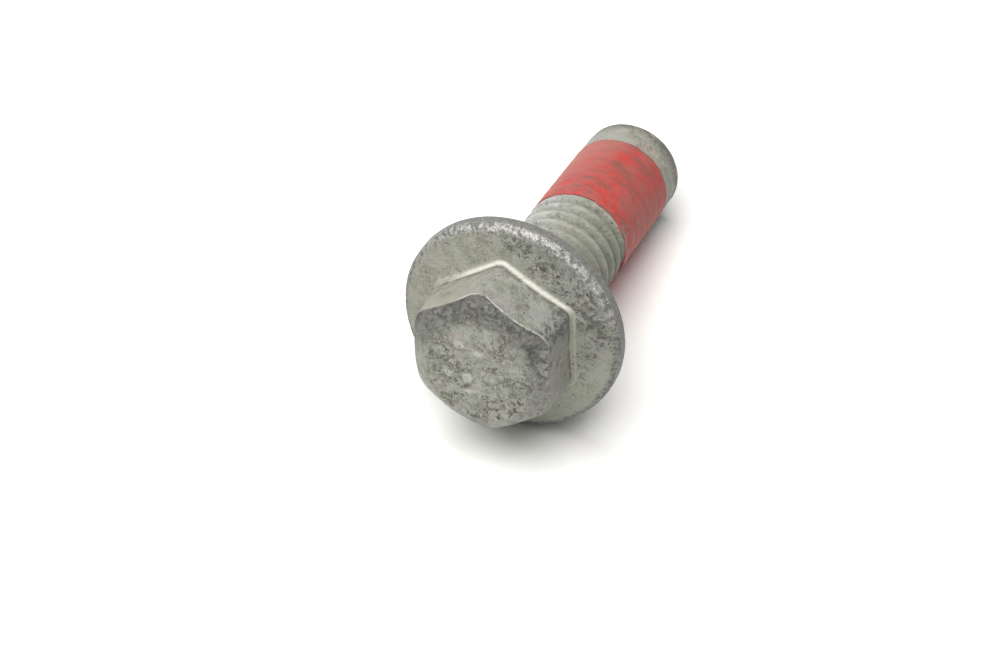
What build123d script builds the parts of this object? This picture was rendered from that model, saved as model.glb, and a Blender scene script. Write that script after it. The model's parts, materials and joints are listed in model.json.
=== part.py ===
from build123d import *
import os
from math import atan2, cos, radians, sin, tan

# Flange bolt, M10 x 1.5, with a 13 mm hexagon: cold headed from wire, thread rolled and coated
# with zinc flakes. A red thread-locking patch is wrapped round the shank near the point.
# The shank is drawn at the size of the thread's crests, and the fine grooves are left out.
# It lies on a rubbed spot on the edge of its flange and on the edge of its point, with the head
# towards -Y. The spot is so slight that it can't be seen, but it keeps the bolt from rolling away.
# Millimetres, +Z up; the origin is on the ground below the middle of the bolt's box.

os.makedirs("parts", exist_ok=True)

# ---- shank ----
crest_radius = 9.8 / 2
neck_radius = 9.0 / 2         # the blank before rolling, close to the pitch diameter
neck_length = 1.6
under_head_round = 0.5
shank_length = 28.4           # from the bearing face to the end of the point
point_chamfer = 0.8

# ---- flange ----
flange_radius = 20.9 / 2
flange_edge = 1.9             # height of the flange's edge before its corners are broken
flange_slope = 14.5           # how steeply the top climbs to the hexagon
edge_top_round = 0.9
edge_seat_chamfer = 0.4
rest_flat = 0.07              # depth of the rubbed spot on the rim that the bolt lies on

# ---- hexagon ----
across_flats = 12.8           # a 13 mm hexagon, less its tolerance
hex_turn = 22.5               # from +X to the first corner, about the axis
corner_round = 1.2            # the die never fills the corners quite sharp
hex_root_round = 0.6          # fillet between the flats and the flange
head_height = 8.7
crown_radius = 5.45           # the flat circle that the chamfer leaves on the crown
crown_slope = 35.0

# ---- thread-locking patch ----
patch_start = 13.5
patch_length = 10.8
patch_thickness = 0.08

# ---- the way it lies: one line touches the spot on the flange's rim and the point ----
contact_radius = flange_radius - rest_flat
contact_drop = contact_radius - crest_radius
contact_run = shank_length - point_chamfer + edge_seat_chamfer
lean = atan2(contact_drop, contact_run)
low_end = -head_height * cos(lean) - crown_radius * sin(lean)
high_end = shank_length * cos(lean) + (crest_radius - point_chamfer) * sin(lean)
seat_y = -(low_end + high_end) / 2
seat_z = contact_radius * cos(lean) - edge_seat_chamfer * sin(lean)

# "seat" lies in the bearing face with its Z along the bolt towards the point;
# "section" holds half sections, with X outwards from the axis and Y towards the point.
seat = Plane(origin=(0, seat_y, seat_z), x_dir=(1, 0, 0), z_dir=(0, cos(lean), -sin(lean)))
section = Plane(origin=seat.origin, x_dir=seat.x_dir, z_dir=-seat.y_dir)
bolt_axis = Axis(seat.origin, seat.z_dir)
overlap = 1.0                 # how far the shank is sunk into the head before they fuse

with BuildPart() as bolt:
    # Hexagon: a prism with rounded corners, its crown chamfered by a cone.
    with BuildSketch(seat.offset(-head_height)) as hexagon:
        RegularPolygon(across_flats / 2, 6, major_radius=False, rotation=hex_turn)
        fillet(hexagon.vertices(), corner_round)
    extrude(amount=head_height)
    with BuildSketch(section):
        chamfer_drop = (across_flats - crown_radius) * tan(radians(crown_slope))
        with BuildLine():
            Polyline(
                (0, 0),
                (across_flats, 0),
                (across_flats, chamfer_drop - head_height),
                (crown_radius, -head_height),
                (0, -head_height),
                close=True,
            )
        make_face()
    revolve(axis=bolt_axis, mode=Mode.INTERSECT)

    # Flange: a flat seat, a rounded top edge and a cone that climbs into the hexagon.
    with BuildSketch(section):
        cone_rise = flange_radius * tan(radians(flange_slope))
        with BuildLine():
            FilletPolyline(
                (0, 0),
                (flange_radius - edge_seat_chamfer, 0),
                (flange_radius, -edge_seat_chamfer),
                (flange_radius, -flange_edge),
                (0, -flange_edge - cone_rise),
                radius=(0, 0, 0, edge_top_round, 0),
                close=True,
            )
        make_face()
    revolve(axis=bolt_axis)
    hex_root = bolt.edges(Select.LAST).filter_by(
        lambda edge: edge.geom_type in (GeomType.HYPERBOLA, GeomType.BSPLINE)
    )
    fillet(hex_root, hex_root_round)

    # Shank: a neck rounded into the bearing face, a 45 degree shoulder and a chamfered point.
    with BuildSketch(section):
        shoulder = crest_radius - neck_radius
        seat_overlap = neck_radius + 2 * under_head_round
        with BuildLine():
            FilletPolyline(
                (0, -overlap),
                (seat_overlap, -overlap),
                (seat_overlap, 0),
                (neck_radius, 0),
                (neck_radius, neck_length),
                (crest_radius, neck_length + shoulder),
                (crest_radius, shank_length - point_chamfer),
                (crest_radius - point_chamfer, shank_length),
                (0, shank_length),
                radius=(0, 0, 0, under_head_round, 0, 0, 0, 0, 0),
                close=True,
            )
        make_face()
    revolve(axis=bolt_axis)

    # The spot that it lies on: what would reach below the ground is rubbed off the rim.
    with Locations((0, seat_y, 0)):
        hung_below = (Align.CENTER, Align.CENTER, Align.MAX)
        Box(flange_radius, 2 * flange_radius, flange_edge, align=hung_below, mode=Mode.SUBTRACT)

# Thread-locking patch: a thin red sleeve of dried compound all round the shank.
with BuildPart() as thread_lock_patch:
    with BuildSketch(seat.offset(patch_start)):
        Circle(crest_radius + patch_thickness)
        Circle(crest_radius, mode=Mode.SUBTRACT)
    extrude(amount=patch_length)

bolt.part.label = "bolt"
export_step(bolt.part, "parts/bolt.step")
thread_lock_patch.part.label = "thread_lock_patch"
export_step(thread_lock_patch.part, "parts/thread_lock_patch.step")
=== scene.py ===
# %% [markdown]
# # A flange bolt, headed, rolled and coated
# The bolt is forged from one piece of wire: a punch upsets the hexagon and its flange, dies roll
# the thread, and a dip in zinc flake paint gives the matte grey coat. A red compound near the point
# keeps the bolt from working loose. The measured frame comes from the CAD model, and two meshes
# are dressed on to it here: the forging and the compound.

# %% Load the frame
import bmesh
import bpy
import json
from math import atan2, cos, degrees, floor, pi, radians, sin, sqrt, tan
from mathutils import Euler, Matrix, Vector, noise


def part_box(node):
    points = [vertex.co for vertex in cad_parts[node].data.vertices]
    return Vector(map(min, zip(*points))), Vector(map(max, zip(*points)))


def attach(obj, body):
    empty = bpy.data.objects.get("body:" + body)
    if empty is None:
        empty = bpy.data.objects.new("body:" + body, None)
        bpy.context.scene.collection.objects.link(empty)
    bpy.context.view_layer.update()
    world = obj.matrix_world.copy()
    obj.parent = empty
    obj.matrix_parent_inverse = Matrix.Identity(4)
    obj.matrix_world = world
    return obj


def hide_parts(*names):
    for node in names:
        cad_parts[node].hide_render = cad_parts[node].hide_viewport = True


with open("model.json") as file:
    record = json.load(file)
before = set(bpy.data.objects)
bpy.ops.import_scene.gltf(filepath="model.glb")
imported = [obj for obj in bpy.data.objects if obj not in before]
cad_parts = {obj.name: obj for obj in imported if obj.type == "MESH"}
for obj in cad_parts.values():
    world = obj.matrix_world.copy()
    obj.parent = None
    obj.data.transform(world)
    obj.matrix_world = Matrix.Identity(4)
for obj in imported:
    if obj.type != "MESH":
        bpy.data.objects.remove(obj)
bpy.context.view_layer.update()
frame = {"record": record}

# %% [markdown]
# ## Where the bolt lies
# The record's mounts say where the bearing face and the middle of the crown are, and which way the
# shank points. Shapes are made in millimetres in the bolt's own space, with Z along the shank and
# zero at the bearing face, and one matrix then lays them down in the frame.

# %% The bolt's own space
MM = 0.001
mounts = {mount["name"]: mount for mount in frame["record"]["mounts"]}
axis = Vector(mounts["shank"]["axis"]).normalized()
crown_middle = Vector(mounts["hexagon"]["pos_m"])
seat = Vector(mounts["bearing_face"]["pos_m"])
seat.x = crown_middle.x
across = Vector((1, 0, 0))
turned = Matrix((across, axis.cross(across), axis)).transposed().to_4x4()
lay_down = Matrix.Translation(seat) @ turned @ Matrix.Scale(MM, 4)

flange_low, flange_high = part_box("bolt")
patch_low, patch_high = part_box("thread_lock_patch")
lean = -atan2(axis.z, axis.y)
head_height = (seat - crown_middle).length / MM
flange_radius = (flange_high.x - flange_low.x) / 2 / MM
crest_radius = mounts["shank"]["dims"]["r_mm"]
patch_radius = (patch_high.x - patch_low.x) / 2 / MM
patch_middle = ((patch_low + patch_high) / 2 - seat).dot(axis) / MM
patch_length = ((patch_high.y - patch_low.y) / MM - 2 * patch_radius * sin(lean)) / cos(lean)
print(f"lean {degrees(lean):.2f} deg, head {head_height:.2f}, flange radius {flange_radius:.2f}, "
      f"patch {patch_middle - patch_length / 2:.2f} to {patch_middle + patch_length / 2:.2f} mm")

# %% [markdown]
# ## The camera
# A small thing is looked at from close by through a long lens, so that its near end isn't swollen.
# The camera stands above and in front of the head, a little to its right. Depth of field stays off.

# %% Camera
view_azimuth = radians(24.42)
view_elevation = radians(47.44)
camera_place = Vector((58.79, -142.86, 166.5)) * MM
film_width = 36
focal_length = 86.4
nearest_seen = 0.01

lens_data = bpy.data.cameras.new("studio_camera")
lens_data.sensor_width = film_width
lens_data.lens = focal_length
lens_data.clip_start = nearest_seen
camera = bpy.data.objects.new("studio_camera", lens_data)
camera.location = camera_place
camera.rotation_euler = Euler((pi / 2 - view_elevation, 0, view_azimuth))
bpy.context.collection.objects.link(camera)
bpy.context.scene.camera = camera
print(f"camera {camera_place.length / MM:.0f} mm from the bolt, lens {focal_length} mm")

# %% [markdown]
# ## Half sections
# Almost everything on a bolt starts as a half section: corners joined by straights, each corner
# broken by an arc. One helper turns a short list of corners into points, and tags each point with
# the name of the arc or straight that it is on, so that the finish can follow the form later.

# %% A half section from its corners
def half_section(corners):
    """corners: (name, r, z, rounding, pieces of the arc, pieces of the straight that follows).
    Returns [(point, name, place along it, 0 to 1)]. A straight has its corner's name and a +."""
    spots = [Vector((r, z)) for _, r, z, *_ in corners]
    arcs = []
    for index, (name, _, _, rounding, arc_pieces, _) in enumerate(corners):
        here = spots[index]
        if not rounding:
            arcs.append([(here, name, 0.5)])
            continue
        back = (spots[index - 1] - here).normalized()
        ahead = (spots[index + 1] - here).normalized()
        half = back.angle(ahead) / 2
        middle = here + (back + ahead).normalized() * rounding / sin(half)
        reach = rounding / tan(half)
        begin = (here + back * reach - middle).normalized()
        end = (here + ahead * reach - middle).normalized()
        arcs.append([(middle + begin.slerp(end, k / arc_pieces) * rounding, name, k / arc_pieces)
                     for k in range(arc_pieces + 1)])
    points = []
    for arc, following, corner in zip(arcs, arcs[1:] + [None], corners):
        points += arc
        if following:
            start, stop, pieces = arc[-1][0], following[0][0], corner[5]
            points += [(start.lerp(stop, k / pieces), corner[0] + "+", k / pieces)
                       for k in range(1, pieces)]
    return points


disc = half_section([("foot", 1, 0, 0, 1, 1), ("edge", 1, 1, 0.2, 2, 1), ("middle", 0, 1, 0, 1, 1)])
print("a disc's edge, rounded in two pieces:", [[round(c, 2) for c in spot] for spot, _, _ in disc])

# %% [markdown]
# ## The head
# The hexagon and its flange are one forging. The steel never fills the die's corners quite sharp,
# least of all at the crown, so the corners are rounder there than at the root. A half section is
# worked out for each of 360 directions, and a ring of edges is extruded from station to station
# through all of them, from the neck up to the middle of the crown. That keeps a row of vertices on
# each real edge, which a Boolean cut wouldn't.

# %% Sizes of the head, in millimetres
neck_radius = 4.5
neck_length = 1.6
bridge_gap = 0.2              # between the head's first ring and the thread, closed by a bridge
under_head_round = 0.5
flange_edge = 1.9
flange_slope = radians(14.5)
edge_top_round = 0.9
edge_seat_chamfer = 0.4
seat_edge_round = 0.08
seat_corner_round = 0.15
half_flats = 12.8 / 2
first_corner = radians(22.5)
crown_corner_round = 2.0
root_corner_round = 1.0
hex_root_round = 0.6
crown_edge_round = 0.22
crown_radius = 5.45
crown_slope = radians(35)
crown_ring_round = 0.5
inner_ring = 0.06             # the last ring, which is then drawn together to a point
columns = 360


def hexagon_radius(angle, rounding):
    """How far the hexagon reaches from the axis in one direction."""
    from_corner = (angle - first_corner + pi / 6) % (pi / 3) - pi / 6
    from_flat = pi / 6 - abs(from_corner)
    arc_from = atan2((half_flats - rounding) * tan(pi / 6), half_flats)
    if from_flat <= arc_from:
        return half_flats / cos(from_flat)
    centre = (half_flats - rounding) / cos(pi / 6)
    return centre * cos(from_corner) + sqrt(rounding ** 2 - (centre * sin(from_corner)) ** 2)


def head_section(angle):
    """The head's half section in one direction, from the neck round the flange to the crown."""
    side_root = hexagon_radius(angle, root_corner_round)
    side_crown = hexagon_radius(angle, crown_corner_round)
    root_height = flange_edge + (flange_radius - side_root) * tan(flange_slope)
    edge_height = head_height - (side_crown - crown_radius) * tan(crown_slope)
    return half_section([
        ("neck", neck_radius, neck_length - bridge_gap, 0, 1, 2),
        ("under_head", neck_radius, 0, under_head_round, 5, 10),
        ("seat_edge", flange_radius - edge_seat_chamfer, 0, seat_edge_round, 2, 1),
        ("seat_corner", flange_radius, -edge_seat_chamfer, seat_corner_round, 2, 3),
        ("rim", flange_radius, -flange_edge, edge_top_round, 9, 14),
        ("root", side_root, -root_height, hex_root_round, 8, 22),
        ("crown_edge", side_crown, -edge_height, crown_edge_round, 4, 9),
        ("crown_ring", crown_radius, -head_height, crown_ring_round, 4, 34),
        ("middle", inner_ring, -head_height, 0, 1, 1),
    ])


sections = [head_section(2 * pi * k / columns) for k in range(columns)]
print("stations from neck to crown:", len(sections[0]))

# %% [markdown]
# ## The thread
# A right-hand M10 thread with a pitch of 1.5 mm: 60 degree flanks, broad crests and rounded roots,
# all softened by the coat. One section of the whole length is spun once round the axis while it
# moves on by one pitch, so each groove meets the next one at the seam. The grooves run out at the
# neck, and near the point the coat has filled them almost level.

# %% Sizes of the thread, in millimetres
pitch = 1.5
root_radius = 4.28
shank_length = mounts["thread"]["dims"]["length_mm"] + neck_length
crest_flat = pitch * 0.27
flank_run = (crest_radius - root_radius) * tan(pi / 6)
crest_round = 0.12
groove_round = 0.18
point_chamfer = 0.8
run_out = 1.3
spin_steps = 112
filled_depth = 0.07           # what is left of the grooves past the compound
patch_start = patch_middle - patch_length / 2
patch_end = patch_middle + patch_length / 2
fill_from = patch_end - 1.5
fill_to = patch_end - 0.3


def between(value, low, high):
    """0 below low, 1 above high, and straight between them."""
    return min(1.0, max(0.0, (value - low) / (high - low)))


def thread_radius(radius, height):
    """The plain thread's radius, fitted to the run-out at the neck and to the filled point."""
    fullness = (radius - root_radius) / (crest_radius - root_radius)
    started = between(height, neck_length, neck_length + run_out)
    filled = between(height, fill_from, fill_to)
    top = neck_radius + (crest_radius - neck_radius) * started
    bottom = neck_radius + (root_radius - neck_radius) * started
    bottom += (crest_radius - filled_depth - bottom) * filled
    cone = crest_radius - max(0.0, height - (shank_length - point_chamfer))
    return min(bottom + (top - bottom) * fullness, cone)


def thread_section():
    """The thread's section over the whole length, one pitch longer than the shank at each end."""
    start = neck_length - 2 * pitch
    turns = floor((shank_length - start) / pitch) + 2
    corners = []
    for turn in range(turns):
        foot = start + turn * pitch
        corners += [
            ("crest", crest_radius, foot, crest_round if turn else 0.0, 2, 1),
            ("crest", crest_radius, foot + crest_flat, crest_round, 2, 2),
            ("groove", root_radius, foot + crest_flat + flank_run, groove_round, 2, 1),
            ("groove", root_radius, foot + pitch - flank_run, groove_round, 2, 2),
        ]
    corners.append(("crest", crest_radius, start + turns * pitch, 0, 1, 1))
    return half_section(corners)


thread_line = thread_section()
print(f"thread {crest_radius - root_radius:.2f} mm deep, points in its section: {len(thread_line)}")

# %% [markdown]
# ### One mesh for the whole forging
# The thread is spun and cut square at the neck and at the point. The head's rings are extruded in
# the same mesh, and a bridge of faces closes the gap at the neck, so that head and shank are one
# skin, as they are one piece of steel.

# %% Mesh helpers
near = 1e-3                   # vertices nearer than this are one, in millimetres


def pull_ring(bm, edges, place):
    """Extrudes a ring of edges, moves each new vertex from spot to place(spot), and returns it."""
    grown = bmesh.ops.extrude_edge_only(bm, edges=edges)["geom"]
    fresh = {item for item in grown if isinstance(item, bmesh.types.BMVert)}
    for vert in fresh:
        vert.co = place(vert.co)
    return [item for item in grown
            if isinstance(item, bmesh.types.BMEdge) and fresh.issuperset(item.verts)]


def out_from_axis(spot, radius, height):
    """The place at a radius and a height, on the same side of the axis as a spot."""
    angle = atan2(spot.y, spot.x)
    return Vector((radius * cos(angle), radius * sin(angle), height))


def ring_at(bm, height):
    """The open edges that lie at one height."""
    return [edge for edge in bm.edges if edge.is_boundary
            and all(abs(vert.co.z - height) < near for vert in edge.verts)]


def ring_verts(ring):
    """The vertices of a ring of edges, each once."""
    return list(dict.fromkeys(vert for edge in ring for vert in edge.verts))


def close_ring(bm, ring, height):
    """Draws a small ring together to one vertex on the axis."""
    bmesh.ops.pointmerge(bm, verts=ring_verts(ring), merge_co=(0, 0, height))


def cut_square(bm, height, side):
    """Cuts the mesh at one height and clears what is above it (side 1) or below it (side -1)."""
    bmesh.ops.bisect_plane(bm, geom=bm.verts[:] + bm.edges[:] + bm.faces[:], dist=near / 10,
                           plane_co=(0, 0, height), plane_no=(0, 0, side), clear_outer=True)


def spin_helix(bm, line, steps):
    """Spins a line of (radius, height) once round the axis while it climbs by one pitch."""
    verts = [bm.verts.new((radius, 0, height)) for radius, height in line]
    edges = [bm.edges.new(pair) for pair in zip(verts, verts[1:])]
    bmesh.ops.spin(bm, geom=verts + edges, axis=(0, 0, 1), cent=(0, 0, 0), steps=steps,
                   angle=2 * pi, dvec=(0, 0, pitch / steps))
    bmesh.ops.remove_doubles(bm, verts=bm.verts, dist=near)

# %% Thread, spun
bolt_bm = bmesh.new()
spin_helix(bolt_bm, [spot for spot, _, _ in thread_line], spin_steps)
for vert in bolt_bm.verts:
    radius = vert.co.xy.length
    vert.co.xy *= thread_radius(radius, vert.co.z) / radius
cut_square(bolt_bm, neck_length, -1)
cut_square(bolt_bm, shank_length, 1)
print("thread faces:", len(bolt_bm.faces))

# %% Point: a shallow cup where the rolled skin has closed over the end of the wire
cup = ((3.9, 0.0), (3.4, 0.05), (2.6, 0.28), (1.6, 0.42), (0.7, 0.46), (0.05, 0.46))
ring = ring_at(bolt_bm, shank_length)
for radius, drop in cup:
    ring = pull_ring(bolt_bm, ring, lambda spot: out_from_axis(spot, radius, shank_length - drop))
close_ring(bolt_bm, ring, shank_length - drop)
print("the cup in the point is", drop, "mm deep")

# %% [markdown]
# ### Zones
# Wear, paint and painted light follow the form: a rim rubs through to steel and carries painted
# glints, a root fills with paint under a painted highlight, and a groove is painted darker for its
# shade.
# So each vertex carries a weight for each zone of the bolt, written as the mesh is made, and the
# finish reads the weights later. Painting them by hand would lose the exact edges.

# %% Zones of the finish
zone_names = ("rim", "rim_side", "flange", "root", "crease", "flat", "crown_edge", "chamfer",
              "crown", "pip", "thread", "groove", "lip")
zones = {name: bolt_bm.verts.layers.float.new(name) for name in zone_names}
groove_shade_from, groove_shade_full = 0.05, 0.6   # how far below the crests the painted groove shade starts, and is at its full
for vert in bolt_bm.verts:
    depth = crest_radius - vert.co.xy.length
    vert[zones["thread"]] = between(vert.co.z, neck_length, neck_length + 1)
    vert[zones["groove"]] = between(depth, groove_shade_from, groove_shade_full) * (vert.co.z < patch_end)


def zone_weights(name, along):
    """The zones that a station of the head belongs to, and how strongly."""
    swell = sin(pi * along)
    table = {
        "seat_corner+": {"rim_side": 1.0}, "seat_corner": {"rim_side": 1.0},
        "rim": {"rim": min(1.0, 1.5 * swell), "rim_side": max(0.0, 1 - 4 * along),
                "flange": along, "lip": along ** 2},
        "rim+": {"flange": 1.0, "lip": max(0.0, 1 - 5 * along)},
        "root": {"root": swell ** 2, "crease": along ** 6, "flange": 1 - along, "flat": along},
        "root+": {"flat": 1.0, "crease": max(0.0, 1 - 9 * along)},
        "crown_edge": {"crown_edge": swell ** 2, "chamfer": along, "flat": 1 - along},
        "crown_edge+": {"chamfer": 1.0, "crown": 0.4},
        "crown_ring": {"chamfer": 1 - 0.4 * along, "crown": 0.4 + 0.6 * along},
        "crown_ring+": {"crown": 1.0, "chamfer": max(0.0, 0.6 - 2.4 * along)},
        "middle": {"crown": 1.0},
    }
    return table.get(name, {})


print("zones:", ", ".join(zone_names))

# %% Head, extruded ring by ring
before = set(bolt_bm.verts)
circle = bmesh.ops.create_circle(bolt_bm, segments=columns, radius=neck_radius)["verts"]
ring = list(dict.fromkeys(edge for vert in circle for edge in vert.link_edges))
for vert in circle:
    vert.co.z = sections[0][0][0].y
for station in range(1, len(sections[0])):
    def on_section(spot):
        direction = round(atan2(spot.y, spot.x) / (2 * pi) * columns) % columns
        return out_from_axis(spot, *sections[direction][station][0])
    ring = pull_ring(bolt_bm, ring, on_section)
    _, name, along = sections[0][station]
    for zone, weight in zone_weights(name, along).items():
        for vert in ring_verts(ring):
            vert[zones[zone]] = weight
close_ring(bolt_bm, ring, -head_height)
head_verts = [vert for vert in bolt_bm.verts if vert not in before]
neck_rings = ring_at(bolt_bm, neck_length) + ring_at(bolt_bm, neck_length - bridge_gap)
bmesh.ops.bridge_loops(bolt_bm, edges=neck_rings)
bmesh.ops.recalc_face_normals(bolt_bm, faces=bolt_bm.faces)
open_edges = sum(edge.is_boundary for edge in bolt_bm.edges)
print("open edges left:", open_edges, "faces:", len(bolt_bm.faces))

# %% [markdown]
# ### Marks of the forge
# A headed blank is tumbled with thousands of others, so its flats are a little wavy and its edges
# are nicked. The crown carries small raised marks, here only plain pips, which stand for a grade
# mark without spelling one. All of this moves vertices inwards, so the bolt stays in its box; only
# the pips stand up, and they sit well inside the crown's edge.

# %% Dents and pips
pips = (
    # across and up from the crown's middle, half length across, half length up;
    # the bolt's own Y points down where it lies
    (-1.9, 1.75, 0.55, 0.32), (0.0, 1.45, 0.55, 0.32),
    (-2.6, -1.5, 0.50, 0.34), (-0.85, -1.45, 0.50, 0.50), (-0.55, -2.75, 0.60, 0.32),
)
pip_height = 0.18
wave_size = 1.7               # from one wave of the forged skin to the next
grain_size = 0.62             # of the rough skin that the punch leaves on the crown
pit_size = 0.55
pit_level = 0.28              # the higher, the fewer pits
elsewhere = Vector((7, 3, 1)) # moves the pits off the waves


def forge_move(vert):
    """How far a vertex of the head moves out along its normal, in millimetres."""
    place = vert.co
    on_crown = vert[zones["crown"]]
    swell = noise.fractal(place / wave_size, 1.0, 2.0, 3)
    pit = max(0.0, noise.noise(place / pit_size + elsewhere) - pit_level)
    depth = 0.02 + 0.035 * max(on_crown, vert[zones["chamfer"]])
    rough = on_crown * (0.5 + noise.fractal(place / grain_size, 0.8, 2.0, 3))
    move = (-depth * (0.6 + swell) - 0.06 * rough
            - 0.10 * on_crown * pit - 0.05 * vert[zones["rim"]] * pit)
    if on_crown > 0.5:
        for right, high, half_long, half_high in pips:
            reach = sqrt(((place.x - right) / half_long) ** 2
                         + ((-place.y - high) / half_high) ** 2)
            stands = between(-reach, -1.3, -0.7)
            move += pip_height * stands
            vert[zones["pip"]] = max(vert[zones["pip"]], stands)
    return move


bolt_bm.normal_update()
shifts = [(vert, vert.normal * forge_move(vert)) for vert in head_verts
          if vert.is_valid and vert.co.z < -edge_seat_chamfer]
for vert, shift in shifts:
    vert.co += shift
print("largest forge move:", round(max(shift.length for _, shift in shifts), 3), "mm")

# %% [markdown]
# ## The red compound
# The compound is brushed on wet and dries to a skin that fills the grooves and stands a little
# proud of the crests. Its surface still shows the thread as faint ripples, and its edges are
# ragged where the brush left the ridges. The sleeve is spun like the thread, so that the ripples
# follow the same helix, then cut square, and its edges are moved to and fro.

# %% Compound sleeve
sleeve_inner = 4.5
sleeve_steps = 144
steps_per_pitch = 10
spare = 2 * pitch             # what is spun past each end before the ends are cut square
ripple = 0.035
lump_size = 1.3
lump_depth = 0.03

patch_bm = bmesh.new()
count = int((patch_length + 2 * spare) / pitch * steps_per_pitch)
sleeve_line = [(patch_radius, patch_start - spare + k * pitch / steps_per_pitch)
               for k in range(count)]
spin_helix(patch_bm, sleeve_line, sleeve_steps)
cut_square(patch_bm, patch_start, -1)
cut_square(patch_bm, patch_end, 1)


def sleeve_radius(place):
    """The dried skin: ripples over the grooves, and lumps where the brush left more."""
    turn = atan2(place.y, place.x) / (2 * pi)
    phase = (place.z - (neck_length - 2 * pitch) - crest_flat / 2) / pitch - turn
    lump = between(0.5 + 0.5 * noise.fractal(place / lump_size, 1.0, 2.0, 3), 0.0, 1.0)
    return patch_radius - ripple * (0.5 - 0.5 * cos(2 * pi * phase)) - lump_depth * lump


for vert in patch_bm.verts:
    vert.co.xy = vert.co.xy.normalized() * sleeve_radius(vert.co)
print("sleeve faces:", len(patch_bm.faces))

# %% Ragged ends, and the wall down to the grooves
tear_size = 1.1
tear_depth = 0.16
skin = 0.02                   # how far the wall bends inwards below the crests
first_ring, last_ring = ring_at(patch_bm, patch_start), ring_at(patch_bm, patch_end)
for vert in ring_verts(first_ring + last_ring):
    spot = Vector((vert.co.x, vert.co.y, 0)) / tear_size + Vector((0, 0, round(vert.co.z)))
    inward = 1 if vert.co.z < patch_middle else -1
    vert.co.z += inward * tear_depth * (0.5 + noise.fractal(spot, 1.0, 2.0, 3))
walls = []
for ring in (first_ring, last_ring):
    for radius in (crest_radius - skin, sleeve_inner):
        ring = pull_ring(patch_bm, ring, lambda spot: (*spot.xy.normalized() * radius, spot.z))
    walls += ring
bmesh.ops.bridge_loops(patch_bm, edges=walls)
bmesh.ops.recalc_face_normals(patch_bm, faces=patch_bm.faces)
open_edges = sum(edge.is_boundary for edge in patch_bm.edges)
print("compound open edges:", open_edges, "faces:", len(patch_bm.faces))

# %% [markdown]
# ## Colours and nodes
# Colours are written as they look on screen, in hex, and one function turns them to the linear
# values that shaders use. One more function adds a node with its settings and its links. Patterns
# read Object coordinates, turned into the bolt's own millimetres, so that they never slide.

# %% Colour and node helpers
def linear(colour):
    """A hex colour as linear red, green, blue and alpha."""
    parts = [int(colour[k:k + 2], 16) / 255 for k in (1, 3, 5)]
    return [p / 12.92 if p <= 0.04045 else ((p + 0.055) / 1.055) ** 2.4 for p in parts] + [1.0]


print("mid grey in linear light:", round(linear("#808080")[0], 3))


def add(tree, kind, inputs=None, **settings):
    """Adds a node. Settings are its properties; inputs are sockets, each with a value or a link."""
    made = tree.nodes.new(kind)
    for name, value in settings.items():
        setattr(made, name, value)
    for socket, value in (inputs or {}).items():
        if isinstance(value, bpy.types.NodeSocket):
            tree.links.new(value, made.inputs[socket])
        else:
            made.inputs[socket].default_value = value
    return made


def new_material(name):
    """An empty node material and its tree."""
    material = bpy.data.materials.new(name)
    material.use_nodes = True
    material.node_tree.nodes.clear()
    return material, material.node_tree


def bolt_space(tree):
    """Object coordinates, turned into the bolt's own space in millimetres."""
    where = add(tree, "ShaderNodeTexCoord")
    return add(tree, "ShaderNodeMapping", {
        "Vector": where.outputs["Object"], "Location": seat, "Rotation": turned.to_euler(),
        "Scale": (MM, MM, MM)}, vector_type="TEXTURE").outputs[0]

# %% [markdown]
# ## Masks
# A stain is a colour and a mask that says where it lies. Noise between two levels makes patches,
# noise near its middle value makes thin winding lines, and a slope keeps a stain to one side.

# %% Masks
def mask(tree, place, size, low, high, detail=4.0, roughness=0.62):
    """Patches of about one size in millimetres: 0 where the noise is below low, 1 above high."""
    grain = add(tree, "ShaderNodeTexNoise", {
        "Vector": place, "Scale": 1 / size, "Detail": detail, "Roughness": roughness,
        "Distortion": 0.5})
    return add(tree, "ShaderNodeMapRange", {
        "Value": grain.outputs["Fac"], "From Min": low, "From Max": high},
        interpolation_type="SMOOTHSTEP").outputs[0]


def wrinkle(tree, place, size, width):
    """Thin winding lines, where a noise crosses its middle value."""
    grain = add(tree, "ShaderNodeTexNoise", {
        "Vector": place, "Scale": 1 / size, "Detail": 3.0, "Roughness": 0.6, "Distortion": 1.2})
    off = add(tree, "ShaderNodeMath", {0: grain.outputs["Fac"], 1: 0.5}, operation="SUBTRACT")
    away = add(tree, "ShaderNodeMath", {0: off.outputs[0]}, operation="ABSOLUTE")
    return add(tree, "ShaderNodeMapRange", {
        "Value": away.outputs[0], "From Min": 0.0, "From Max": width, "To Min": 1.0, "To Max": 0.0},
        interpolation_type="SMOOTHSTEP").outputs[0]


def slope(tree, place, direction, low, high):
    """0 on one side of the bolt and 1 on the other, along a direction in the bolt's space."""
    along = add(tree, "ShaderNodeVectorMath", {0: place, 1: direction}, operation="DOT_PRODUCT")
    return add(tree, "ShaderNodeMapRange", {
        "Value": along.outputs["Value"], "From Min": low, "From Max": high},
        interpolation_type="SMOOTHSTEP").outputs[0]


# %% Masks put together, and layers of paint
def product(tree, *factors):
    """Values multiplied together."""
    total = factors[0]
    for factor in factors[1:]:
        total = add(tree, "ShaderNodeMath", {0: total, 1: factor}, operation="MULTIPLY").outputs[0]
    return total


def paint(tree, ground, layers):
    """A ground colour with layers painted over it, each a mask and its colour at full cover."""
    colour = linear(ground)
    for cover, tint in layers:
        colour = add(tree, "ShaderNodeMix", {0: cover, 6: colour, 7: linear(tint)},
                     data_type="RGBA").outputs[2]
    return colour
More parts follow.
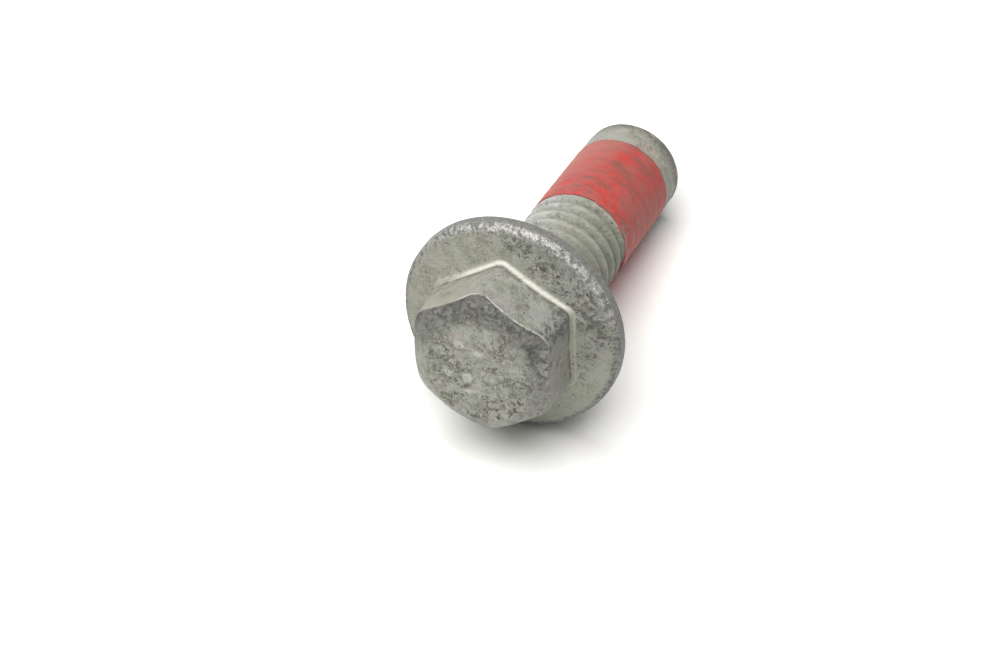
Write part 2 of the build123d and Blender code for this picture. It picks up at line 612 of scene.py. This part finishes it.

# %% [markdown]
# ## Zinc flake coat
# Flakes of zinc and aluminium in a baked binder, over dark forged steel. The flakes lie flat and
# are far too fine to see, so to the eye the coat is a matte paint, grey and a little green. It is
# mottled where the dip ran thick or thin, and wrinkled on the crown. Tumbling has rubbed it dark on
# the crown's chamfer and through to steel on the flange's rim, paint has pooled pale in the fillet
# at the root of the hexagon, and dirt sits in pits as fine dark specks. Light and shade are painted
# in too: painted shade on the sides turned from the softbox, in the thread's grooves and along a
# crease under the root fillet; painted light on the thread's upper left and the flange's lower
# right; painted highlights on the root fillet, the crown's edge and the pips, and painted glints on
# the rim. It could be one image, but layers painted one over the other follow the form exactly and
# need no picture.

# %% Sides of the bolt
def sides(tree, place):
    """Where the bolt faces: smooth masks for its sides, its edges and its point."""
    to_point = slope(tree, place, (0, 0, 1), shank_length - 2.3, shank_length - 1.0)
    off_end = slope(tree, place, (0, 0, -1), 0.3 - shank_length, 0.8 - shank_length)
    side = {
        "right": slope(tree, place, (0.8, -0.35, 0), -1, 8),
        "end_rim": product(tree, to_point, off_end),
        "past_patch": slope(tree, place, (0, 0, 1), patch_end - 0.2, patch_end + 0.2),
        "upper": slope(tree, place, (0.1, -1, 0), -2.5, 3.5),
        "top": slope(tree, place, (0.15, -1, 0), 3, 9),
        "lit_edge": slope(tree, place, (0.17, -0.98, 0), 4.2, 6.0),
        "right_flat": slope(tree, place, (0.4, 0.92, 0), -2.6, -1.2),
        "far_left": slope(tree, place, (-0.9, 0.1, 0), 2.5, 5.0),
        "right_side": slope(tree, place, (0.95, 0.2, 0), 3.6, 5.4),
        "low_right": slope(tree, place, (0.3, 0.95, 0), 1.0, 5.0),
        "low_crown": slope(tree, place, (0.6, 0.8, 0), 2.6, 4.4),
        "higher": slope(tree, place, (-0.1, -1, 0), -4.5, 1.5),
        "right_corner": slope(tree, place, (0.79, -0.61, 0), 6.5, 7.0),
        "upper_flat": slope(tree, place, (1, -0.5, 0), -2, 2),
        "upper_flange": slope(tree, place, (0.6, -0.8, 0), 3.5, 8),
        "thread_right": slope(tree, place, (1, 0, 0), -1, 5),
        "thread_left": slope(tree, place, (-1, 0.2, 0), -2, 3),
    }
    side["pale_root"] = add(tree, "ShaderNodeMath", {
        0: side["right_flat"], 1: side["far_left"]}, operation="MAXIMUM").outputs[0]
    return side

# %% Tints of the zones
def tints(tree, place, zone, side):
    """How the coat's grey shifts from one part of the bolt to the next, with painted shade on the
    sides turned from the light and painted light on the thread's upper left.
    """
    return (
        # mask, colour at full cover
        (zone["flat"], "#ADAC9E"),
        (product(tree, zone["flat"], side["upper_flat"], 0.8), "#ACAEA9"),
        # painted shade: the right flat, turned from the softbox, darker
        (product(tree, zone["flat"], side["right_flat"], 0.8), "#A09F9A"),
        (zone["flange"], "#B0B1A4"),
        # painted shade: the flange's right side, turned from the softbox, darker
        (product(tree, zone["flange"], side["right"], 0.7), "#A4A7A0"),
        # painted shade: the thread's right side darker
        (product(tree, zone["thread"], side["thread_right"]), "#9EA094"),
        # painted light: the thread's upper left, facing the softbox, paler
        (product(tree, zone["thread"], side["thread_left"], 0.9), "#D6DAD8"),
        (product(tree, side["past_patch"], 0.6), "#A6A89D"),
        (product(tree, side["end_rim"], 0.95), "#585853"),
        (product(tree, side["past_patch"], mask(tree, place, 1.3, 0.56, 0.64), 0.5), "#BC8A84"),
    )

# %% Mottle, wrinkles, dirt, and painted light and shade
def mottle(tree, place, zone, side, lines, busy):
    """Thick and thin spots of the dip, its wrinkles and the dirt that they hold, painted light on
    the flange's lower right, and painted shade in the thread's grooves.
    """
    dirty = add(tree, "ShaderNodeMapRange", {
        "Value": side["right"], "To Min": 0.25, "To Max": 1.0}).outputs[0]
    patches = mask(tree, place, 2.3, 0.46, 0.54)
    scratches = wrinkle(tree, place, 0.6, 0.04)
    smudge = mask(tree, place, 0.9, 0.50, 0.62, detail=8)
    flange, flat = zone["flange"], zone["flat"]
    return (
        (product(tree, mask(tree, place, 2.1, 0.50, 0.58), 0.5), "#C0BAAE"),
        (product(tree, mask(tree, place, 1.5, 0.52, 0.60), 0.65), "#989D89"),
        (product(tree, mask(tree, place, 1.7, 0.55, 0.62), busy, 0.65), "#BCB0AB"),
        (product(tree, mask(tree, place, 0.42, 0.42, 0.62, detail=6), patches, busy, 0.75),
         "#7D8073"),
        (product(tree, mask(tree, place, 0.33, 0.56, 0.70, detail=5), busy, 0.7), "#DEDBD1"),
        (product(tree, lines, patches, busy, 0.9), "#55564D"),
        (product(tree, scratches, mask(tree, place, 1.8, 0.52, 0.58), dirty, 0.8), "#5F6057"),
        (product(tree, smudge, mask(tree, place, 3.0, 0.46, 0.60), dirty, 0.85), "#62625E"),
        # painted light: the flange's lower right paler
        (product(tree, flange, side["low_right"], 0.6), "#BFC2B1"),
        (product(tree, flange, side["right"], side["higher"],
                 mask(tree, place, 1.3, 0.50, 0.68, detail=9, roughness=0.72)), "#5F605D"),
        (product(tree, flange, side["right"],
                 mask(tree, place, 2.0, 0.55, 0.61, detail=10, roughness=0.76), 0.8), "#52534F"),
        (product(tree, flange, side["upper_flange"],
                 wrinkle(tree, place, 1.0, 0.06), mask(tree, place, 1.2, 0.48, 0.56)), "#454540"),
        (product(tree, flat, side["right_corner"],
                 mask(tree, place, 0.6, 0.44, 0.56, detail=7), 0.9), "#5B5B58"),
        # painted shade: the thread's grooves darker, for the shade that lies in them
        (product(tree, zone["groove"], 0.65), "#7E8174"),
    )

# %% Root and chamfer
def root_and_chamfer(tree, place, zone, side):
    """Paint pooled pale in the root fillet under a painted highlight, painted shade along the
    crease below it, and the crown's chamfer rubbed dark.
    """
    wide_root = add(tree, "ShaderNodeMath", {
        0: zone["root"], 1: 0.22}, operation="POWER").outputs[0]
    chamfer, upper, right_side = zone["chamfer"], side["upper"], side["right_side"]
    return (
        # the pale band in the root fillet is partly paint pooled pale and partly a painted
        # highlight, broad on the right flat and toned down there and on the far left
        (product(tree, wide_root, side["right_flat"], 0.9), "#B6BBA9"),
        (product(tree, zone["root"], mask(tree, place, 0.7, 0.24, 0.42)), "#F3F2E7"),
        (product(tree, zone["root"], side["pale_root"], 0.9), "#A2A595"),
        # painted shade: a thin dark line along the crease below the root fillet
        (product(tree, zone["crease"], mask(tree, place, 0.9, 0.38, 0.52), 0.8), "#5E5D56"),
        (product(tree, chamfer, upper, 0.9), "#686762"),
        (product(tree, chamfer, upper, mask(tree, place, 1.0, 0.44, 0.60, detail=9), 0.9),
         "#434340"),
        (product(tree, chamfer, upper, mask(tree, place, 0.4, 0.52, 0.60, detail=5), 0.7),
         "#93928C"),
        (product(tree, chamfer, right_side, mask(tree, place, 0.7, 0.42, 0.58, detail=8), 0.6),
         "#6A6965"),
        (product(tree, chamfer, right_side, mask(tree, place, 0.5, 0.46, 0.56, detail=6), 0.8),
         "#B9B8B3"),
        (product(tree, zone["crown"], side["low_crown"], mask(tree, place, 0.5, 0.53, 0.60), 0.9),
         "#4C4C46"),
    )

# %% Rim, edges, pips and specks
def edges_and_specks(tree, place, zone, side):
    """The rim rubbed down to dark steel with painted glints on its top, painted highlights on the
    lit crown edge and the pips, and dirt in the pits.
    """
    rim, rim_side, top = zone["rim"], zone["rim_side"], side["top"]
    return (
        (product(tree, zone["lip"], top, mask(tree, place, 0.35, 0.46, 0.58, detail=6), 0.8),
         "#6B6A66"),
        (product(tree, rim_side, 0.9), "#737270"),
        (product(tree, rim_side, mask(tree, place, 0.3, 0.48, 0.60, detail=6), 0.7), "#9B9A97"),
        (product(tree, rim, 0.85), "#A09F9B"),
        # painted glints: bright specks on the rim where it faces up
        (product(tree, rim, top, mask(tree, place, 0.16, 0.48, 0.62, detail=3), 0.8), "#DCDCD8"),
        (product(tree, rim, mask(tree, place, 0.5, 0.46, 0.56, detail=6), 0.85), "#636360"),
        # painted highlight along the crown's edge where it faces the light
        (product(tree, zone["crown_edge"], side["lit_edge"], mask(tree, place, 0.6, 0.36, 0.50)),
         "#E2E1DC"),
        # painted highlight on the pips
        (product(tree, zone["pip"], mask(tree, place, 0.4, 0.34, 0.54), 0.75), "#E2E1DC"),
        (product(tree, mask(tree, place, 0.20, 0.60, 0.66, detail=2),
                 mask(tree, place, 2.2, 0.50, 0.60)), "#3B3B38"),
    )

# %% Zinc flake material
coat_grey = "#B9BBAF"
coat_roughness = 0.5
rubbed_metal = 0.5            # how metallic the rim is where the coat is rubbed through
wrinkle_height = 0.17


def zinc_flake():
    """Zinc flake coated steel: a matte grey paint, mottled, worn and speckled."""
    material, tree = new_material("zinc_flake_coated_steel")
    place = bolt_space(tree)
    zone = {name: add(tree, "ShaderNodeAttribute", attribute_name=name).outputs["Fac"]
            for name in zone_names}
    side = sides(tree, place)
    lines = wrinkle(tree, place, 1.35, 0.035)
    busy = add(tree, "ShaderNodeMapRange", {
        "Value": zone["crown"], "To Min": 0.35, "To Max": 1.0}).outputs[0]
    colour = paint(tree, coat_grey, (
        *tints(tree, place, zone, side), *mottle(tree, place, zone, side, lines, busy),
        *root_and_chamfer(tree, place, zone, side), *edges_and_specks(tree, place, zone, side)))
    grit = add(tree, "ShaderNodeTexNoise", {
        "Vector": place, "Scale": 1 / 0.35, "Detail": 5.0, "Roughness": 0.65})
    creased = add(tree, "ShaderNodeMath", {
        0: product(tree, lines, busy), 1: -0.5, 2: grit.outputs["Fac"]}, operation="MULTIPLY_ADD")
    relief = add(tree, "ShaderNodeBump", {
        "Height": creased.outputs[0], "Strength": 0.8, "Distance": wrinkle_height * MM})
    shader = add(tree, "ShaderNodeBsdfPrincipled", {
        "Base Color": colour, "Metallic": product(tree, zone["rim"], side["top"], rubbed_metal),
        "Roughness": coat_roughness, "Normal": relief.outputs[0]})
    add(tree, "ShaderNodeOutputMaterial", {"Surface": shader.outputs[0]})
    return material


zinc = zinc_flake()
print("zinc nodes:", len(zinc.node_tree.nodes))

# %% [markdown]
# ## Thread-locking compound
# A red resin full of tiny capsules, brushed on wet and dried. To the eye it is a matte crust,
# drawn out along the thread, brightest where it lies thick, and brown or grey where the coat
# shows through. Painted light makes its upper left paler, and painted shade darkens its right side.

# %% Compound material
resin_red = "#B9625B"
resin_roughness = 0.6
crust_height = 0.12


def compound():
    """Dried red thread-locking compound: a matte crust, streaky and thin in spots, with painted
    light on its upper left and painted shade on its right.
    """
    material, tree = new_material("dried_thread_locking_compound")
    place = bolt_space(tree)
    drawn = add(tree, "ShaderNodeMapping", {"Vector": place, "Scale": (0.45, 0.45, 1.5)}).outputs[0]
    front = slope(tree, place, (0, 0, -1), -patch_middle - 0.5, -patch_start - 0.8)
    wet = add(tree, "ShaderNodeMapRange", {"Value": front, "To Min": 0.4, "To Max": 1.0}).outputs[0]
    far_side = slope(tree, place, (1, 0.2, 0), 1.5, 5.0)
    far_left = slope(tree, place, (-0.8, -0.5, 0.3), 8.0, 11.0)
    colour = paint(tree, resin_red, (
        (product(tree, mask(tree, place, 2.3, 0.40, 0.64, detail=5), 0.85), "#CE423D"),
        (product(tree, mask(tree, drawn, 2.4, 0.47, 0.62, detail=6), 0.85), "#93594F"),
        (product(tree, mask(tree, drawn, 1.0, 0.54, 0.64, detail=5), 0.6), "#7A574A"),
        (product(tree, mask(tree, place, 0.6, 0.52, 0.66, detail=5), wet, 0.9), "#F0504A"),
        # painted light: the compound's upper left, towards the point, paler
        (product(tree, far_left, 0.7), "#C47C73"),
        # painted shade: the compound's right side darker
        (product(tree, far_side, 0.5), "#A0423E"),
        (product(tree, far_side, front, mask(tree, place, 1.3, 0.52, 0.60), 0.8), "#8E8A78"),
    ))
    lumps = add(tree, "ShaderNodeTexNoise", {
        "Vector": drawn, "Scale": 1 / 0.7, "Detail": 5.0, "Roughness": 0.65})
    relief = add(tree, "ShaderNodeBump", {
        "Height": lumps.outputs["Fac"], "Strength": 0.4, "Distance": crust_height * MM})
    shader = add(tree, "ShaderNodeBsdfPrincipled", {
        "Base Color": colour, "Roughness": resin_roughness, "Normal": relief.outputs[0]})
    add(tree, "ShaderNodeOutputMaterial", {"Surface": shader.outputs[0]})
    return material


red_compound = compound()
print("compound nodes:", len(red_compound.node_tree.nodes))

# %% [markdown]
# ## Laying the pieces down
# Each mesh is moved into the frame, given its finish, and tied to the body that it rides on. It
# stands for the CAD node whose place it takes. The flange's rim is rubbed flat by a few hundredths
# of a millimetre where it lies, so no vertex is left lower than the floor.

# %% Pieces
def settle(bm, name, material, node):
    """Lays a mesh down in the frame as a finished piece."""
    bmesh.ops.transform(bm, matrix=lay_down, verts=bm.verts)
    for vert in bm.verts:
        vert.co.z = max(vert.co.z, 0.0)
    for face in bm.faces:
        face.smooth = True
    mesh = bpy.data.meshes.new(name)
    bm.to_mesh(mesh)
    bm.free()
    mesh.materials.append(material)
    piece = bpy.data.objects.new(name, mesh)
    bpy.context.collection.objects.link(piece)
    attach(piece, "root")
    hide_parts(node)
    print(name, "triangles:", sum(len(face.vertices) - 2 for face in mesh.polygons))


settle(bolt_bm, "flange_bolt", zinc, "bolt")
settle(patch_bm, "compound_band", red_compound, "thread_lock_patch")

# %% [markdown]
# ## Studio
# A white sweep under one large softbox, hung overhead and a little to the left, so that the shadow
# stays soft and close to the bolt. The floor near the bolt is plain paper that keeps the shadow;
# further out it glows white for camera and mirror rays alone, so that the background has no edge.

# %% Rays that see the background
def seen_directly(tree):
    """1 for camera, glossy and transmission rays, otherwise 0."""
    path = add(tree, "ShaderNodeLightPath")
    first = add(tree, "ShaderNodeMath", {
        0: path.outputs["Is Camera Ray"], 1: path.outputs["Is Glossy Ray"]}, operation="MAXIMUM")
    return add(tree, "ShaderNodeMath", {
        0: first.outputs[0], 1: path.outputs["Is Transmission Ray"]},
        operation="MAXIMUM").outputs[0]


# %% Paper sweep
floor_reach = 2
paper_lift = 1.35             # lifts the lit paper to white, for direct rays alone
glow_from, glow_full = 0.05, 0.16

sweep, tree = new_material("white_paper_sweep")
direct = seen_directly(tree)
shade = add(tree, "ShaderNodeMix", {
    0: direct, 6: linear("#E6E6E6"), 7: (paper_lift, paper_lift, paper_lift, 1)}, data_type="RGBA")
paper = add(tree, "ShaderNodeBsdfDiffuse", {"Color": shade.outputs[2]})
where = add(tree, "ShaderNodeTexCoord")
far = add(tree, "ShaderNodeVectorMath", {0: where.outputs["Object"]}, operation="LENGTH")
fade = add(tree, "ShaderNodeMapRange", {
    "Value": far.outputs["Value"], "From Min": glow_from, "From Max": glow_full},
    interpolation_type="SMOOTHSTEP")
glow = add(tree, "ShaderNodeEmission", {"Strength": product(tree, direct, fade.outputs[0])})
both = add(tree, "ShaderNodeAddShader", {0: paper.outputs[0], 1: glow.outputs[0]})
add(tree, "ShaderNodeOutputMaterial", {"Surface": both.outputs[0]})

floor_bm = bmesh.new()
bmesh.ops.create_grid(floor_bm, x_segments=1, y_segments=1, size=floor_reach)
floor_mesh = bpy.data.meshes.new("studio_floor")
floor_bm.to_mesh(floor_mesh)
floor_bm.free()
floor_mesh.materials.append(sweep)
floor_piece = bpy.data.objects.new("studio_floor", floor_mesh)
bpy.context.collection.objects.link(floor_piece)
print("floor:", 2 * floor_reach, "m square")

# %% World
room_light = 0.02             # a little light from the room, so that no shadow is quite black
world = bpy.data.worlds.new("studio_world")
bpy.context.scene.world = world
world.use_nodes = True
tree = world.node_tree
tree.nodes.clear()
strength = add(tree, "ShaderNodeMapRange", {
    "Value": seen_directly(tree), "To Min": room_light, "To Max": 1.0})
sky = add(tree, "ShaderNodeBackground", {
    "Color": linear("#FFFFFF"), "Strength": strength.outputs[0]})
add(tree, "ShaderNodeOutputWorld", {"Surface": sky.outputs[0]})
print("room light:", room_light)

# %% Softbox
softbox_data = bpy.data.lights.new("overhead_softbox", "AREA")
softbox_data.size = 0.56
softbox_data.energy = 3.7
softbox_data.color = linear("#FFFEFB")[:3]
softbox = bpy.data.objects.new("overhead_softbox", softbox_data)
softbox.location = Vector((-0.06, -0.11, 0.50))
aim = Vector((0, 0, 0.01)) - softbox.location
softbox.rotation_euler = aim.to_track_quat("-Z", "Y").to_euler()
softbox.visible_camera = False
bpy.context.collection.objects.link(softbox)
print(f"softbox {softbox_data.size:.2f} m wide, {aim.length:.2f} m away")

bpy.context.scene.view_settings.view_transform = "Standard"
